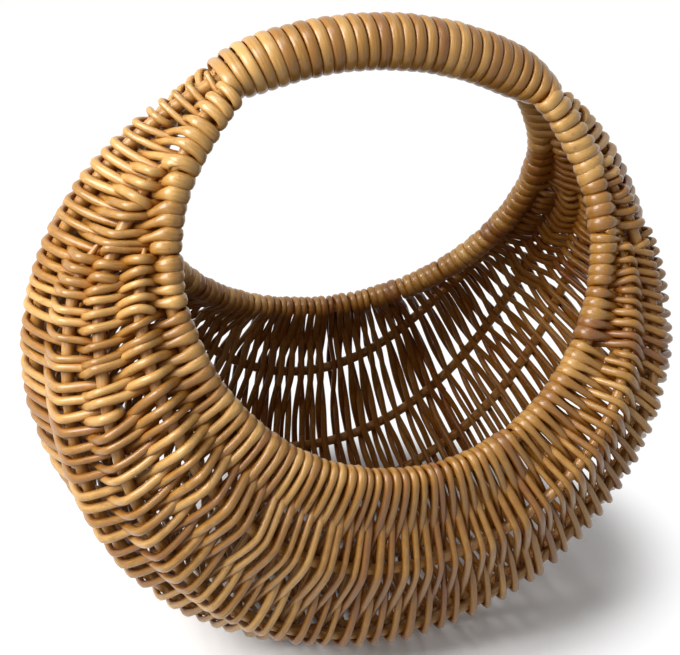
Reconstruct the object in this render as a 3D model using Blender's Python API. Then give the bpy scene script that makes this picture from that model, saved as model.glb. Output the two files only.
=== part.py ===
"""Round willow basket for gathering mushrooms, made on hoops and ribs.

Three closed willow hoops run side by side through the handle. Below it they part: the keel hoop goes
round underneath, and the front and back hoops swing out to make the two low rims. Three ribs fill each
side between the keel and a rim. Weavers go back and forth across them, from rim to rim and round each rim.
X is the width, Y the depth with the front at minus Y, and Z is up from the surface that it stands on.
"""

import math

import bmesh
import bpy
import numpy as np
from mathutils import Vector

# Sizes are in metres and angles in degrees.
# The keel hoop is an upright oval, measured to the middle of its rod.
KEEL_HALF_WIDTH = 0.200
KEEL_HALF_HEIGHT = 0.192

# The hoops part at two points of the keel hoop, this far either side of the middle.
PARTING_HALF_SPAN = 0.0687
# Each rim is an arc in a plane that leans out from the line through the two parting points.
RIM_RADIUS = 0.133
RIM_DROP = 0.2385
RIM_LEAN = 24.8

# Across the wall, the cross-section is a rounded oval from the keel (0 degrees) to a rim, which comes
# round less far where the shoulder narrows.
RIM_ANGLE = 120.0
SHOULDER_RIM_ANGLE = 52.0
SQUARENESS_BASE = 3.0
SQUARENESS_SIDE = 2.0
# Each rib's place on that oval, under the basket and at its sides.
RIB_PLACES = {"low": (34.0, 38.0), "middle": (54.0, 62.0), "high": (88.0, 90.0)}

# Rods and strands.
HOOP_ROD_RADIUS = 0.0042
RIB_ROD_RADIUS = 0.0036
RIB_TIP_RADIUS = 0.0014
FILLER_ROD_RADIUS = 0.0038
FIT_GAP = 0.0003
# The wall's edges twist a little between sections, so they stand a little further off the rods.
EDGE_GAP = 0.0005

# The woven wall stands out most where weavers pass over a rib, and least midway. Three weavers together are
# shown as one wide one, which passes outside a rib at one station and inside it at the next.
WALL_HALF_AT_RIB = 0.0080
WALL_HALF_UNDER = 0.0048
# The lowest weave keeps its full thickness this far beside the keel and its rib, so that the foot is flat.
FOOT_WIDTH = 0.0045
WALL_HALF_BETWEEN = 0.0045
RIM_TURN_THICKNESS = 0.0041

# The base is pressed flat, so that the basket stands.
BASE_PRESS = 0.0100
BASE_EASE = 0.0015
# How gently a hoop bends from its rim into the handle.
HOOP_EASE = 0.0025
FOOT_FLAT_DEPTH = 0.0008

# Going up a side, the shoulder's weave ends where the rim's rod has come this near to the keel's.
SHOULDER_TOP_SPACING = 0.01865
# What follows takes its place from there, in degrees about the keel hoop's middle.
SHOULDER_TURN = 29.0
RIB_SHORT_TURN = 1.0
RIB_TAPER = 16.0
FOOT_TURN = 20.0
PARTING_TURN = 2.0
WRAP_GAP_TURN = 2.5

# The strand that is wound round the handle.
WRAP_HALF_WIDTH = 0.0029
WRAP_HALF_THICKNESS = 0.0019
WRAP_CLEARANCE = 0.0009
WRAP_TURNS_EACH = 14
WRAP_BREAK_TURNS = 0.3

# How finely the curves are divided. The weave goes over and under at WEAVE_STATIONS places round the basket.
BAND_STATIONS = 29
WEAVE_STATIONS = 53
SHOULDER_STATIONS = 6
HANDLE_STATIONS = 15
SECTION_SAMPLES = 33
WRAP_POINTS_PER_TURN = 16
WRAP_SIDES = 6
TURN_ARC_POINTS = 6

# The turns round a rim leave this much of the rod open, either side of where the wall meets it.
TURN_OPEN_ANGLE = 74.0

WILLOW_LIT = (0.56, 0.31, 0.10, 1.0)
WILLOW_ROD = (0.44, 0.22, 0.07, 1.0)
WILLOW_WALL = (0.50, 0.26, 0.08, 1.0)
VARNISH_ROUGHNESS = 0.38

hoop_pitch = 2 * HOOP_ROD_RADIUS + FIT_GAP
base_level = WALL_HALF_AT_RIB - FOOT_FLAT_DEPTH
keel_middle_height = base_level + KEEL_HALF_HEIGHT - BASE_PRESS
parting_height = keel_middle_height + KEEL_HALF_HEIGHT * math.sqrt(
    1 - (PARTING_HALF_SPAN / KEEL_HALF_WIDTH) ** 2
)
lean = math.radians(RIM_LEAN)


def clear_scene():
    for obj in list(bpy.data.objects):
        bpy.data.objects.remove(obj, do_unlink=True)


def willow(name, color):
    """Varnished willow of one tone."""
    material = bpy.data.materials.new(name)
    material.use_nodes = True
    shader = material.node_tree.nodes["Principled BSDF"]
    shader.inputs["Base Color"].default_value = color
    shader.inputs["Roughness"].default_value = VARNISH_ROUGHNESS
    shader.inputs["Metallic"].default_value = 0.0
    return material


def add_object(name, data, color):
    obj = bpy.data.objects.new(name, data)
    bpy.context.scene.collection.objects.link(obj)
    data.materials.append(willow(name + "_willow", color))
    return obj


def smooth_step(share):
    share = np.clip(share, 0.0, 1.0)
    return share * share * (3 - 2 * share)


def keel_reach(theta):
    """Distance from the keel hoop's middle to its rod, in the direction theta."""
    across = np.sin(theta) / KEEL_HALF_WIDTH
    up = np.cos(theta) / KEEL_HALF_HEIGHT
    return 1 / np.sqrt(across**2 + up**2)


def rim_table():
    """The rim's arc as direction about the keel's middle, reach from it, and distance from the keel's plane."""
    arc_middle = RIM_DROP - RIM_RADIUS
    # An arc too small to pass outside the parting point runs on to it straight.
    to_parting = math.hypot(PARTING_HALF_SPAN, arc_middle)
    last_bend = math.atan2(PARTING_HALF_SPAN, -arc_middle) - math.acos(min(1, RIM_RADIUS / to_parting))
    turn = np.linspace(0, 0.97 * math.pi, 600)
    bend = np.minimum(turn, last_bend)
    straight = RIM_RADIUS * (turn - bend)
    down = arc_middle + RIM_RADIUS * np.cos(bend) - straight * np.sin(bend)
    x = RIM_RADIUS * np.sin(bend) + straight * np.cos(bend)
    depth = hoop_pitch + down * math.sin(lean)
    below = keel_middle_height - parting_height + down * math.cos(lean)
    return np.arctan2(x, below), np.hypot(x, below), depth


rim_directions, rim_reaches, rim_depths = rim_table()


def eased(size, ease):
    """The size where it is well above zero, and zero well below, with an easy bend between."""
    return ease * np.logaddexp(0, size / ease)


def rim_place(theta):
    """The front hoop's reach and depth in the direction theta: on its rim, and beside the keel in the handle."""
    up = np.abs(theta)
    inside_keel = keel_reach(up) - np.interp(up, rim_directions, rim_reaches)
    beside_keel = np.interp(up, rim_directions, rim_depths) - hoop_pitch
    reach = keel_reach(up) - eased(inside_keel, HOOP_EASE)
    return reach, hoop_pitch + eased(beside_keel, HOOP_EASE)


def shoulder_top():
    """The direction in which the rim's rod has come as near to the keel's as the shoulder's weave allows."""
    theta = np.radians(np.linspace(90, 175, 851))
    reach, depth = rim_place(theta)
    spacing = np.hypot(keel_reach(theta) - reach, depth)
    return math.degrees(np.interp(-SHOULDER_TOP_SPACING, -spacing, theta))


shoulder_end = shoulder_top()
band_end = shoulder_end - SHOULDER_TURN
rib_end = band_end - RIB_SHORT_TURN
parting_angle = shoulder_end + PARTING_TURN
wrap_start = parting_angle + WRAP_GAP_TURN


def pressed(height):
    """Height after the base is pressed flat."""
    return base_level + eased(height - base_level, BASE_EASE)


def place(theta, reach, depth):
    x = reach * np.sin(theta)
    z = keel_middle_height - reach * np.cos(theta)
    return np.stack([x, -depth, pressed(z)], axis=-1)


def side_share(theta):
    """0 under the basket, 1 at its sides and above."""
    return np.sin(np.minimum(np.abs(theta), math.pi / 2)) ** 2


def rim_angle(theta):
    """How far round the wall's oval the rim lies."""
    upper = (np.abs(theta) - math.pi / 2) / (math.radians(parting_angle) - math.pi / 2)
    return np.radians(RIM_ANGLE + (SHOULDER_RIM_ANGLE - RIM_ANGLE) * smooth_step(upper))


def wall_point(theta, around):
    """A point midway through the woven wall: around runs from 0 at the keel to the rim's angle, front positive."""
    theta, around = np.broadcast_arrays(np.asarray(theta, float), np.asarray(around, float))
    side = side_share(theta)
    power = SQUARENESS_BASE + (SQUARENESS_SIDE - SQUARENESS_BASE) * side

    def oval(angle):
        size = (np.abs(np.cos(angle)) ** power + np.abs(np.sin(angle)) ** power) ** (1 / power)
        return np.cos(angle) / size, np.sin(angle) / size

    reach, depth = rim_place(theta)
    rim_cos, rim_sin = oval(rim_angle(theta))
    middle = (reach - keel_reach(theta) * rim_cos) / (1 - rim_cos)
    cos, sin = oval(around)
    return place(theta, middle + (keel_reach(theta) - middle) * cos, depth / rim_sin * sin)


class Member:
    """A hoop or a rib: where it runs on the wall, and how thick it is."""

    def __init__(self, base_angle, side_angle, radius):
        self.base_share = base_angle / RIM_ANGLE
        self.side_share = side_angle / RIM_ANGLE
        self.radius = radius

    def around(self, theta):
        share = self.base_share + (self.side_share - self.base_share) * side_share(theta)
        return share * rim_angle(theta)

    def point(self, theta):
        return wall_point(theta, self.around(theta))

    def direction(self, theta):
        step = math.radians(0.5)
        along = self.point(theta + step) - self.point(theta - step)
        return along / np.linalg.norm(along, axis=-1, keepdims=True)


def members_of(side):
    """The keel, three ribs and the rim of the front (side 1) or the back (side -1), in order."""
    ribs = [Member(side * base, side * wide, RIB_ROD_RADIUS) for base, wide in RIB_PLACES.values()]
    keel = Member(0, 0, HOOP_ROD_RADIUS)
    rim = Member(side * RIM_ANGLE, side * RIM_ANGLE, HOOP_ROD_RADIUS)
    return [keel] + ribs + [rim]


def side_stations(start, end, count):
    return np.radians(np.linspace(start, end, count))


band_stations = side_stations(-band_end, band_end, BAND_STATIONS)
weave_stations = side_stations(-band_end, band_end, WEAVE_STATIONS)
shoulder_gap = FIT_GAP / (RIM_RADIUS / 2)
shoulder_stations = side_stations(band_end, shoulder_end, SHOULDER_STATIONS)
handle_stations = side_stations(parting_angle, 360 - parting_angle, HANDLE_STATIONS)


def hoop_stations():
    """Stations right round a hoop, at the same places as those of the wall that it meets."""
    right = shoulder_stations[1:]
    left = -shoulder_stations[:0:-1]
    return np.concatenate([left, band_stations, right, handle_stations])


def rod(name, points, radius, color, sides_setting, closed=False, radii=None):
    """A round willow rod along a row of points."""
    curve = bpy.data.curves.new(name, "CURVE")
    curve.dimensions = "3D"
    curve.bevel_depth = radius
    curve.bevel_resolution = sides_setting
    curve.use_fill_caps = not closed
    spline = curve.splines.new("POLY")
    spline.points.add(len(points) - 1)
    for index, point in enumerate(points):
        spline.points[index].co = (*point, 1.0)
        spline.points[index].radius = 1.0 if radii is None else radii[index]
    spline.use_cyclic_u = closed
    spline.use_smooth = True
    return add_object(name, curve, color)


def loft(name, rings, color):
    """A closed body through a row of rings with equal counts of points, capped at both ends."""
    mesh = bpy.data.meshes.new(name)
    body = bmesh.new()
    rows = [[body.verts.new(Vector(point)) for point in ring] for ring in rings]
    count = len(rows[0])
    for row, after in zip(rows, rows[1:]):
        for index in range(count):
            beside = (index + 1) % count
            body.faces.new((row[index], row[beside], after[beside], after[index]))
    body.faces.new(rows[0])
    body.faces.new(rows[-1])
    bmesh.ops.recalc_face_normals(body, faces=body.faces)
    body.to_mesh(mesh)
    body.free()
    mesh.shade_smooth()
    mesh.set_sharp_from_angle(angle=math.radians(40))
    return add_object(name, mesh, color)


def keel_hoop():
    theta = hoop_stations()
    reach = keel_reach(theta)
    rod("keel_hoop", place(theta, reach, 0 * theta), HOOP_ROD_RADIUS, WILLOW_ROD, 2, closed=True)


def rim_hoop(name, side):
    theta = hoop_stations()
    around_back = np.where(theta > math.pi, theta - 2 * math.pi, theta)
    reach, depth = rim_place(around_back)
    rod(name, place(theta, reach, side * depth), HOOP_ROD_RADIUS, WILLOW_ROD, 2, closed=True)


def rib(name, member):
    """A rib that runs between the weavers and tapers to a point at each shoulder."""
    end = math.radians(rib_end)
    theta = np.clip(band_stations, -end, end)
    room = (end - np.abs(theta)) / math.radians(RIB_TAPER)
    share = RIB_TIP_RADIUS / RIB_ROD_RADIUS
    radii = share + (1 - share) * np.clip(room, 0, 1)
    rod(name, member.point(theta), RIB_ROD_RADIUS, WILLOW_ROD, 1, radii=radii)


def outward(way, theta, side):
    """The direction out of the wall, square to the section's own direction, in the section's plane."""
    along = np.array([math.cos(theta), 0, math.sin(theta)])
    out = side * np.cross(along, way)
    return out / np.linalg.norm(out)


def band_section(theta, first, last, over, with_foot):
    """One cross-section of the weave between two members, with its humps over them and its hollow between.
    Over is 1 where the weavers pass outside the first member and inside the last, -1 the other way about,
    and 0 where the wall is as thick on both sides of both."""
    side = np.sign(last.base_share)
    around = np.linspace(first.around(theta), last.around(theta), SECTION_SAMPLES)
    middle = wall_point(theta, around)
    step = np.gradient(middle, axis=0)
    step /= np.linalg.norm(step, axis=1, keepdims=True)
    length = np.concatenate([[0], np.cumsum(np.linalg.norm(np.diff(middle, axis=0), axis=1))])
    edges = []
    for member, end, way in ((first, 0, step[0]), (last, -1, -step[-1])):
        out = outward(side * way if end == 0 else -side * way, theta, 1)
        # The edge is a wall square to the section, this far from the rod's axis.
        across = np.cross(member.direction(theta), out)
        slant = abs(np.dot(way, across)) / np.linalg.norm(across)
        trim = (member.radius + EDGE_GAP) / slant
        edges.append((trim, middle[end] + trim * way, out))
    (first_trim, first_edge, first_out), (last_trim, last_edge, last_out) = edges
    width = length[-1] - first_trim - last_trim
    offsets = (FOOT_WIDTH, width / 2, width - FOOT_WIDTH) if with_foot else (width / 2,)
    points = [first_edge]
    outs = [first_out]
    for offset in offsets:
        offset += first_trim
        points.append(np.array([np.interp(offset, length, middle[:, axis]) for axis in range(3)]))
        step_there = np.array([np.interp(offset, length, step[:, axis]) for axis in range(3)])
        outs.append(outward(step_there, theta, side))
    points = np.array(points + [last_edge])
    outs = np.array(outs + [last_out])
    outer = face_heights(over, with_foot) * outs
    inner = face_heights(-over, with_foot) * outs
    ring = np.concatenate([points + outer, points[-1:], (points - inner)[::-1], points[:1]])
    # The lowest weavers are worn flat where the basket stands on them.
    ring[:, 2] = np.maximum(ring[:, 2], 0)
    return ring


def face_heights(over, with_foot):
    """How far a face of the wall stands out across a section, where over is 1 if the weavers pass on this
    face at the first member and not at the last."""
    first = WALL_HALF_UNDER if over < 0 else WALL_HALF_AT_RIB
    last = WALL_HALF_UNDER if over > 0 else WALL_HALF_AT_RIB
    heights = [first, first, WALL_HALF_BETWEEN, last, last] if with_foot else [first, WALL_HALF_BETWEEN, last]
    return np.array(heights)[:, None]


def woven_band(name, first, last, stations, first_over, foot_turn=0.0):
    """The weave between two members, over and under them by turns from station to station.
    It is level as far as foot_turn either side of the bottom, where the basket stands on it."""
    rings = []
    for index, theta in enumerate(stations):
        over = first_over if index % 2 == 0 else -first_over
        on_foot = abs(theta) < math.radians(foot_turn)
        rings.append(band_section(theta, first, last, 0 if on_foot else over, foot_turn > 0))
    loft(name, rings, WILLOW_WALL)


def rim_binding(name, side):
    """The weavers' turns round a rim, open where the wall comes to the rod."""
    rim = members_of(side)[-1]
    theta = np.concatenate([-shoulder_stations[:0:-1], band_stations, shoulder_stations[1:]])
    points = rim.point(theta)
    ways = rim.direction(theta)
    toward_wall = wall_point(theta, rim.around(theta) - side * math.radians(2)) - points
    arc = np.radians(np.linspace(TURN_OPEN_ANGLE, 360 - TURN_OPEN_ANGLE, TURN_ARC_POINTS))
    # Flat facets lie nearer the rod than their corners do, so the corners stand off by that much more.
    near = (HOOP_ROD_RADIUS + FIT_GAP) / math.cos((arc[1] - arc[0]) / 2)
    far = near + RIM_TURN_THICKNESS
    rings = []
    for point, way, wall in zip(points, ways, toward_wall):
        inward = wall - way * np.dot(wall, way)
        inward /= np.linalg.norm(inward)
        out = np.cross(way, inward)
        rays = np.outer(np.cos(arc), inward) + np.outer(np.sin(arc), out)
        rings.append(np.concatenate([point + far * rays, (point + near * rays)[::-1]]))
    loft(name, rings, WILLOW_WALL)


def handle_filler(name, sign):
    """A short rod laid above or below the hoops, which makes the handle round."""
    theta = side_stations(wrap_start, 360 - wrap_start, HANDLE_STATIONS)
    out = keel_reach(theta) + sign * (HOOP_ROD_RADIUS + FIT_GAP + FILLER_ROD_RADIUS)
    rod(name, place(theta, out, 0 * theta), FILLER_ROD_RADIUS, WILLOW_ROD, 1)


def wrap_centers(turns, start_turn, total_turns):
    """The middle of the strand at each turn count, with the core that it goes round."""
    start = math.radians(wrap_start)
    theta = start + (turns + start_turn) / total_turns * 2 * (math.pi - start)
    phase = 2 * math.pi * (turns + start_turn)
    folded = np.where(theta > math.pi, 2 * math.pi - theta, theta)
    depth = rim_place(folded)[1]
    tall = HOOP_ROD_RADIUS + FIT_GAP + 2 * FILLER_ROD_RADIUS + WRAP_CLEARANCE + WRAP_HALF_THICKNESS
    wide = depth + HOOP_ROD_RADIUS + WRAP_CLEARANCE + WRAP_HALF_THICKNESS
    reach = keel_reach(theta) - tall * np.cos(phase)
    return place(theta, reach, wide * np.sin(phase)), place(theta, keel_reach(theta), 0 * theta)


def handle_wrap(name, first_turn):
    """One strand wound round half of the handle, its two ends straight for one width."""
    total = 2 * WRAP_TURNS_EACH
    count = round((WRAP_TURNS_EACH - WRAP_BREAK_TURNS) * WRAP_POINTS_PER_TURN) + 1
    turns = np.arange(count) / WRAP_POINTS_PER_TURN
    start_turn = first_turn if first_turn == 0 else first_turn + WRAP_BREAK_TURNS
    centers, cores = wrap_centers(turns, start_turn, total)
    ways = np.gradient(centers, axis=0)
    ways /= np.linalg.norm(ways, axis=1, keepdims=True)
    straight = 2 * WRAP_HALF_WIDTH
    centers = np.concatenate([[centers[0] - straight * ways[0]], centers, [centers[-1] + straight * ways[-1]]])
    ways = np.concatenate([ways[:1], ways, ways[-1:]])
    outs = centers - np.concatenate([cores[:1], cores, cores[-1:]])
    outs[0] = outs[1]
    outs[-1] = outs[-2]
    section = 2 * math.pi * (np.arange(WRAP_SIDES) + 0.5) / WRAP_SIDES
    rings = []
    for center, way, out in zip(centers, ways, outs):
        out = out - way * np.dot(out, way)
        out /= np.linalg.norm(out)
        wide = np.cross(way, out)
        rings.append(
            center
            + np.outer(np.cos(section) * WRAP_HALF_WIDTH, wide)
            + np.outer(np.sin(section) * WRAP_HALF_THICKNESS, out)
        )
    loft(name, rings, WILLOW_LIT)
    print(name, "least gap to itself, mm:", round(1000 * least_gap(rings), 2))


def least_gap(rings):
    """The least distance between points of the strand that lie more than half a turn apart along it."""
    apart = round(0.6 * WRAP_POINTS_PER_TURN)
    rings = np.array(rings)
    least = math.inf
    for index in range(len(rings) - apart):
        others = rings[index + apart : index + 2 * WRAP_POINTS_PER_TURN].reshape(-1, 3)
        gaps = np.linalg.norm(rings[index][:, None] - others[None], axis=-1)
        least = min(least, gaps.min())
    return least


def build():
    clear_scene()
    keel_hoop()
    rim_hoop("front_hoop", 1)
    rim_hoop("back_hoop", -1)
    bands = ("base", "low", "middle", "top")
    for side, word in ((1, "front"), (-1, "back")):
        members = members_of(side)
        for place_name, member in zip(RIB_PLACES, members[1:-1]):
            rib(f"{word}_rib_{place_name}", member)
        for order, (band, first, last) in enumerate(zip(bands, members, members[1:])):
            first_over = 1 if order % 2 == 0 else -1
            foot_turn = FOOT_TURN if order == 0 else 0.0
            woven_band(f"{word}_weave_{band}", first, last, weave_stations, first_over, foot_turn)
        stations = shoulder_stations.copy()
        stations[0] += shoulder_gap
        woven_band(f"{word}_shoulder_right", members[0], members[-1], stations, 1)
        woven_band(f"{word}_shoulder_left", members[0], members[-1], -stations, 1)
        rim_binding(f"{word}_rim_binding", side)
    handle_filler("handle_filler_outer", 1)
    handle_filler("handle_filler_inner", -1)
    handle_wrap("handle_wrap_right", 0)
    handle_wrap("handle_wrap_left", WRAP_TURNS_EACH)


build()
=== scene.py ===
"""Willow foraging basket: smooth rods, a strand-by-strand woven wall, bound rims and a wound handle."""

import functools
import math

import bpy
import numpy as np
from mathutils import Matrix, Vector


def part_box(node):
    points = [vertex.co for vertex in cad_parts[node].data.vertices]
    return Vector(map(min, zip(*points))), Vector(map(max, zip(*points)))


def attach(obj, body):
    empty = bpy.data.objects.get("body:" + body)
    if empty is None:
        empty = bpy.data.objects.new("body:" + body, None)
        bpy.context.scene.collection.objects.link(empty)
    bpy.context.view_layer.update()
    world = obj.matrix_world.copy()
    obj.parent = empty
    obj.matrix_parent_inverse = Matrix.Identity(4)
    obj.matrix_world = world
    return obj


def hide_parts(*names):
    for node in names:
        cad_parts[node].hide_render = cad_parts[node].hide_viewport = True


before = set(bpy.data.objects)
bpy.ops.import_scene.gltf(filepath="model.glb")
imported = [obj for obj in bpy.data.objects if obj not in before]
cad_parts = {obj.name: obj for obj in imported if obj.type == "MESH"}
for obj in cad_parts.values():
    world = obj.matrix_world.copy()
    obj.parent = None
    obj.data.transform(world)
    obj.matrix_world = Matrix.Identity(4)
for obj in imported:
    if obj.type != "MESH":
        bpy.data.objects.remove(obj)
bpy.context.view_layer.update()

bl_info = {
    "name": "Willow Foraging Basket",
    "version": (1, 0, 0),
    "blender": (4, 5, 0),
    "location": "3D View > Sidebar > Basket",
    "description": "Weaves a round willow basket on hoops and ribs, round the packed frame",
    "category": "Add Mesh",
}

BODY = "root"
HOOP_ROD_RADIUS = 0.0042
keel_low, keel_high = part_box("keel_hoop")

WEAVE_NODES = tuple(
    f"{side}_{part}"
    for side in ("front", "back")
    for part in ("weave_base", "weave_low", "weave_middle", "weave_top", "rim_binding")
)
# Each hoop's rod, its node, and its side of the keel.
HOOPS = (("keel_rod", "keel_hoop", 0), ("front_rim_rod", "front_hoop", 1), ("back_rim_rod", "back_hoop", -1))
# Each piece of the weave, how far round the basket from the left it reaches, and the nodes that it replaces.
WEAVER_PIECES = (
    ("weavers_left_shoulder", 0.12, ("front_shoulder_left", "back_shoulder_left")),
    ("weavers_left", 0.34, WEAVE_NODES),
    ("weavers_base_left", 0.50, WEAVE_NODES),
    ("weavers_base_right", 0.66, WEAVE_NODES),
    ("weavers_right", 0.87, WEAVE_NODES),
    ("weavers_right_shoulder", 1.01, ("front_shoulder_right", "back_shoulder_right")),
)
# How many faces go round each kind of rod.
SIDES = {"hoop": 14, "rib": 12, "filler": 12, "weaver": 9, "skein": 12}

# How many degrees from the lowest point the weave ends, and where each rib lies round the wall's oval, in
# degrees from the keel under the basket and at its sides.
WEAVE_END = 150.5
RIB_PLACES = {"low": (34.0, 38.0), "middle": (54.0, 60.0), "high": (88.0, 90.0)}
# The bend of a rib's end grows as this power of the way along it, and its point as this power of its length.
RISE_POWER = 1.8
POINT_POWER = 0.7
# A rim's arc is worked out over this share of half a turn, which takes it past the hoops' parting.
ARC_SHARE = 0.97
# How many points such an arc, a member's length, a rib and a filler have, the degrees between a hoop's points,
# and the radians to each side over which a member's directions are taken.
ARC_POINTS, RUN_POINTS, RIB_POINTS, FILLER_POINTS = 600, 1201, 220, 90
HOOP_STEP = 1.2
DIRECTION_STEP = 0.004

# A hoop swells and thins by this share of its thickness, so many times round.
HOOP_SWELL, HOOP_SWELLS = 0.02, 9
# Tones run from 0, the reddest, to 1, the palest, and these are usual ones.
MIDDLE_TONE = 0.5
RIB_TONE = 0.45
TONE_LIMITS = (0.1, 0.9)

# The winding: its seed, its points, and how many of them an easy change from turn to turn takes each way. Its
# turns lift by up to so many metres, swell and thin by a share of their width, and differ in tone.
WINDING_SEED, POINTS_PER_TURN, WINDING_EVENING = 5, 30, 4
WINDING_LIFT, WINDING_SWELL, WINDING_SWELLS, WINDING_TONES = 0.0004, 0.05, 5, 0.16

# Each kind of willow: its material's name, how much paler it is than a weaver, and its streaks' length in mm.
WILLOWS = {
    "hoop": ("Varnished willow hoop rod", 0.22, 9.0),
    "rib": ("Varnished willow rib", 0.22, 9.0),
    "weaver": ("Varnished buff willow weaver", 0.0, 7.0),
    "skein": ("Varnished willow skein", 0.06, 14.0),
}
# About five streaks lie across a rod, so each is about a millimetre wide.
STREAKS_ACROSS = 2.6
# Patches of another tone are about 26 mm long, and dark marks about 6 mm.
PATCHES_PER_METRE = 38.0
MARKS_PER_METRE = 160.0
# How far apart in the noise two rods lie whose tones differ by one.
RODS_APART = 37.0
# How much streaks and patches count beside a rod's own tone, and what is taken off for the middle.
STREAK_SHARE, PATCH_SHARE, TONE_MIDDLE = 0.75, 0.35, 0.55
# Painted shade: within this many metres of another rod the willow's colour is darkened and reddened, where
# shade falls between the rods, and this share of the shine is left there.
CREVICE_SHADE_REACH, CREVICE_SHINE_SHARE = 0.010, 0.15
# Willow and varnish bend light about alike.
WILLOW_IOR = 1.5

# The photograph's view: its direction and roll in degrees, the height that it looks at and its distance, and
# its focal length and shift in pixels of an image 680 wide.
VIEW_AZIMUTH, VIEW_ELEVATION, VIEW_ROLL = -20.53, 27.58, 6.9
VIEW_HEIGHT, VIEW_DISTANCE = 0.2019, 0.704
IMAGE_WIDTH, FOCAL_LENGTH, SHIFT_X, SHIFT_Y = 680, 1094, -18.7, -8.0
# Each lamp: degrees round from the front and up, distance and width in metres, and watts.
LAMPS = {
    "window_light": (-80, 34, 1.15, 0.75, 18.3),
    "front_fill": (-45, 22, 1.8, 1.4, 4.8),
    "top_light": (-60, 72, 1.5, 0.8, 6),
}
LAMP_TARGET = Vector((0, 0, 0.2))
# How much light the room and the paper send onto the basket, where 1 is the white that the camera sees.
ROOM_LIGHT, PAPER_LIGHT = 0.27, 0.42
FLOOR_HALF = 6.0
# The shadow lies on an oval of paper, wider than deep, that turns plain white between these distances, in
# metres of depth. A little of the paper shows beyond them too.
SHADOW_SQUEEZE = (0.6, 1.0, 1.0)
SHADOW_NEAR, SHADOW_FAR = 0.125, 0.18
BACKDROP_SHARE, BACKDROP_STRENGTH = 0.95, 1.05

# The steps in their order, each an operator.
STEPS = ("hoops", "ribs", "weavers", "fillers", "winding", "stage")
# Kinds of node that come often.
VECTOR_MATH = "ShaderNodeVectorMath"
MATHS = "ShaderNodeMath"
MAP_RANGE = "ShaderNodeMapRange"
NOISE = "ShaderNodeTexNoise"


def linear(hex_colour):
    """An sRGB hex colour as the linear red, green and blue that shaders take."""
    shares = (int(hex_colour[place : place + 2], 16) / 255 for place in (1, 3, 5))
    return tuple(
        share / 12.92 if share <= 0.04045 else ((share + 0.055) / 1.055) ** 2.4
        for share in shares
    )


def unit(vector):
    return vector / np.linalg.norm(vector, axis=-1, keepdims=True)


def run_along(points):
    """How far along the row each of its points lies."""
    steps = np.linalg.norm(np.diff(points, axis=0), axis=1)
    return np.concatenate([[0], np.cumsum(steps)])


def smoothed(values, reach, mode="edge", **how):
    """The running mean over this many places to each side."""
    padded = np.pad(values, reach, mode, **how)
    return np.convolve(padded, np.ones(2 * reach + 1) / (2 * reach + 1), "valid")


def way_to(azimuth, elevation):
    """The direction that lies so many degrees round from the front and so many up."""
    a, e = math.radians(azimuth), math.radians(elevation)
    return Vector((math.sin(a) * math.cos(e), -math.cos(a) * math.cos(e), math.sin(e)))


def length(name, description, default):
    return bpy.props.FloatProperty(
        name=name, description=description, default=default, min=0.0, precision=5, unit="LENGTH"
    )


def angle(name, description, degrees):
    return bpy.props.FloatProperty(
        name=name, description=description, default=math.radians(degrees), subtype="ANGLE"
    )


def share(name, description, default):
    return bpy.props.FloatProperty(
        name=name, description=description, default=default, subtype="FACTOR", soft_min=0.0, soft_max=1.0
    )


def count(name, description, default):
    return bpy.props.IntProperty(name=name, description=description, default=default, min=1)


def colour(name, description, hex_colour):
    return bpy.props.FloatVectorProperty(
        name=name, description=description, default=linear(hex_colour), subtype="COLOR", min=0.0, max=1.0
    )


class HoopSizes(bpy.types.PropertyGroup):
    """The three hoops: the keel, and the front and back ones that make the rims."""

    rod_radius: length("Rod Radius", "Half the thickness of a hoop's rod", HOOP_ROD_RADIUS)
    keel_half_width: length(
        "Keel Half Width",
        "From the middle of the basket to the middle of the keel's rod, sideways",
        (keel_high.x - keel_low.x) / 2 - HOOP_ROD_RADIUS,
    )
    keel_half_height: length("Keel Half Height", "The same upwards, before the base is pressed flat", 0.192)
    parting_half_span: length("Parting Half Span", "From the middle to where the hoops part", 0.0687)
    rim_radius: length("Rim Radius", "Radius of each rim's arc", 0.133)
    rim_drop: length("Rim Drop", "From the parting down the leaning plane to a rim's lowest point", 0.2385)
    rim_lean: angle("Rim Lean", "How far each rim's plane leans out", 24.8)
    rod_gap: length("Rod Gap", "Room between two rods that lie side by side", 0.0003)
    bend_ease: length("Bend Ease", "How gently a hoop bends from its rim into the handle", 0.0025)


class WallSizes(bpy.types.PropertyGroup):
    """The woven wall's cross-section and its foot."""

    rim_angle: angle("Rim Angle", "How far round the wall's oval a rim lies", 120)
    shoulder_rim_angle: angle("Shoulder Rim Angle", "The same where the shoulder is narrowest", 52)
    squareness_base: bpy.props.FloatProperty(
        name="Base Squareness", description="Power of the wall's oval under the basket", default=3.0
    )
    squareness_side: bpy.props.FloatProperty(
        name="Side Squareness", description="Power of the wall's oval at its sides", default=2.0
    )
    half_thickness: length("Half Thickness", "Half the wall's thickness where weavers pass a rib", 0.0080)
    base_press: length("Base Press", "How far the base is pressed up flat", 0.0100)
    base_ease: length("Base Ease", "How gently the flat base bends into the wall", 0.0015)
    foot_worn: length("Foot Wear", "How much is worn off the weavers that the basket stands on", 0.0008)
    parting_angle: angle("Parting Angle", "Where the hoops part, from the lowest point", 149)


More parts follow.
